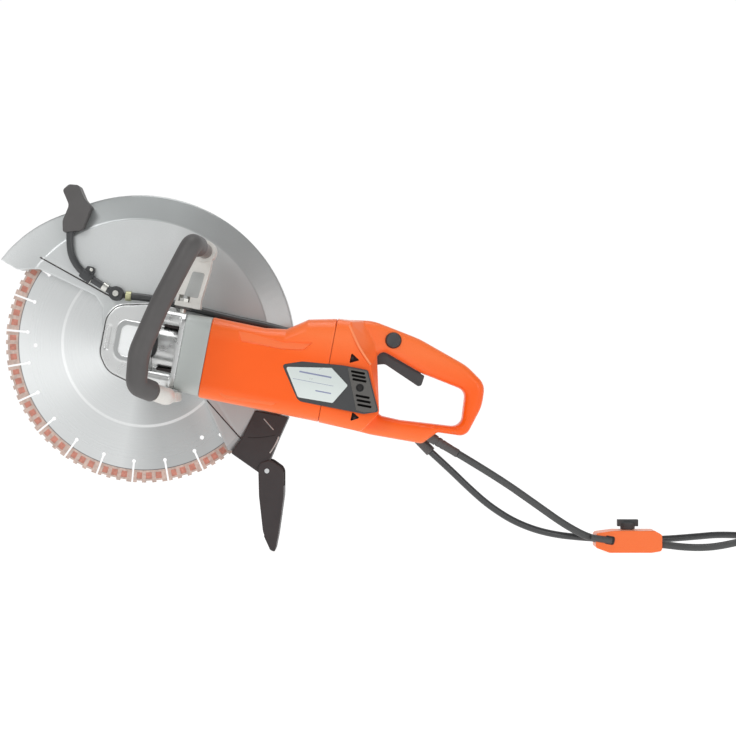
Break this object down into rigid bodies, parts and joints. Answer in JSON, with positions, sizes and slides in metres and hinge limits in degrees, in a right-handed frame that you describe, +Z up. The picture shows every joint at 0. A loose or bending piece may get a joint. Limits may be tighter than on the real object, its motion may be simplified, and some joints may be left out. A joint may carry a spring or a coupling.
{
  "type": "concrete cut-off saw",
  "caption": "Hand-held electric wet-cutting saw with a large diamond blade, swivelling guard, bevel-gear drive, side handle and closed rear handle.",
  "frame": {"origin": "on the floor under the middle of the saw without its cords, which rests on the tip of its spray flap in the pictured pose", "axes": "+X towards the rear handle, +Y along the spindle from the motor towards the blade, +Z up"},
  "size_m": [0.995, 0.2555, 0.456],
  "materials": {
    "orange_shell": "glass-filled nylon, satin orange",
    "grey_paint": "smooth mid-grey paint",
    "cast_alloy": "pressure-cast, lightly polished",
    "guard_paint": "satin silver-grey paint",
    "black_plastic": "fine-grained dark grey",
    "deflector_rubber": "dark semi-hard rubber",
    "rubber": "soft dark grey rubber",
    "cord_jacket": "rubber-sheathed cable",
    "hose_rubber": "smooth black hose",
    "blade_steel": "circumferentially ground",
    "segment_matrix": "sintered diamond matrix",
    "machined_steel": "machined",
    "zinc_screws": "zinc plated",
    "lamination": "varnished lamination stack",
    "copper": "varnished copper",
    "brass_fitting": "turned brass",
    "plate_face": "blank pale plate"
  },
  "bodies": {
    "saw_body": {"motor_housing": "orange_shell", "handle_shell_left": "orange_shell", "handle_shell_right": "orange_shell", "cord_clip": "orange_shell", "motor_collar": "grey_paint", "gear_housing": "cast_alloy", "bearing_flange": "cast_alloy", "upper_bracket": "cast_alloy", "lower_bracket": "cast_alloy", "side_cover_left": "black_plastic", "side_cover_right": "black_plastic", "brush_holders": "black_plastic", "power_switch": "black_plastic", "electronics_module": "black_plastic", "air_baffle": "black_plastic", "power_plug": "black_plastic", "front_handle_grip": "rubber", "handle_pads": "rubber", "strain_reliefs": "rubber", "power_cord": "cord_jacket", "supply_hose": "hose_rubber", "water_hose": "hose_rubber", "motor_bearings": "machined_steel", "spindle_bearings": "machined_steel", "front_handle_tube": "machined_steel", "trigger_pin": "machined_steel", "flange_screws": "zinc_screws", "housing_screws": "zinc_screws", "handle_screws": "zinc_screws", "bracket_bolts": "zinc_screws", "stator_core": "lamination", "stator_windings": "copper", "carbon_brushes": "copper", "hose_connector": "brass_fitting", "name_plates": "plate_face"},
    "guard": {"blade_guard": "guard_paint", "guard_clamp_ring": "guard_paint", "guard_screws": "zinc_screws", "water_tee": "black_plastic", "hose_clamps": "zinc_screws", "guard_hose": "hose_rubber", "nozzle_boot": "rubber", "spray_deflector": "deflector_rubber", "flap_pin": "machined_steel"},
    "flap": {"spray_flap": "deflector_rubber"},
    "blade_drive": {"spindle": "machined_steel", "crown_gear": "machined_steel", "inner_flange": "machined_steel", "blade_core": "blade_steel", "blade_segments": "segment_matrix", "outer_flange": "machined_steel", "blade_bolt": "zinc_screws"},
    "armature": {"armature_shaft": "machined_steel", "bevel_pinion": "machined_steel", "armature_core": "lamination", "commutator": "copper", "cooling_fan": "black_plastic"},
    "trigger": {"trigger_lever": "black_plastic"},
    "lock": {"lock_button": "black_plastic"},
    "tap": {"tap_knob": "black_plastic"}
  },
  "joints": [
    {"name": "guard_turn", "type": "hinge", "parent": "saw_body", "child": "guard", "pos_m": [-0.1188, 0.0789, 0.2592], "axis": [0, 1, 0], "range_deg": [0, 50], "deforming": ["supply_hose"]},
    {"name": "flap_swing", "type": "hinge", "parent": "guard", "child": "flap", "pos_m": [0.0352, 0.0989, 0.1002], "axis": [0, -1, 0], "range_deg": [-15, 55]},
    {"name": "blade_spin", "type": "hinge", "parent": "saw_body", "child": "blade_drive", "pos_m": [-0.1188, 0.0989, 0.2592], "axis": [0, 1, 0], "continuous": true},
    {"name": "armature_spin", "type": "hinge", "parent": "saw_body", "child": "armature", "pos_m": [0.01872, 0.0269, 0.23297], "axis": [0.9823, 0, -0.1874], "continuous": true},
    {"name": "trigger_squeeze", "type": "hinge", "parent": "saw_body", "child": "trigger", "pos_m": [0.17691, 0.0269, 0.25369], "axis": [0, -1, 0], "range_deg": [0, 8], "stiffness_Nm_per_rad": 1.2, "springref_deg": -8.02},
    {"name": "lock_press", "type": "slide", "parent": "saw_body", "child": "lock", "axis": [0, 1, 0], "range_m": [0, 0.004], "stiffness_N_per_m": 600, "springref_m": -0.002},
    {"name": "tap_turn", "type": "hinge", "parent": "saw_body", "child": "tap", "pos_m": [0.4842, 0.0779, 0.0272], "axis": [0, 0, 1], "range_deg": [0, 90]}
  ],
  "couplings": [
    {"joint": "armature_spin", "follows": "blade_spin", "ratio": -4.7}
  ]
}
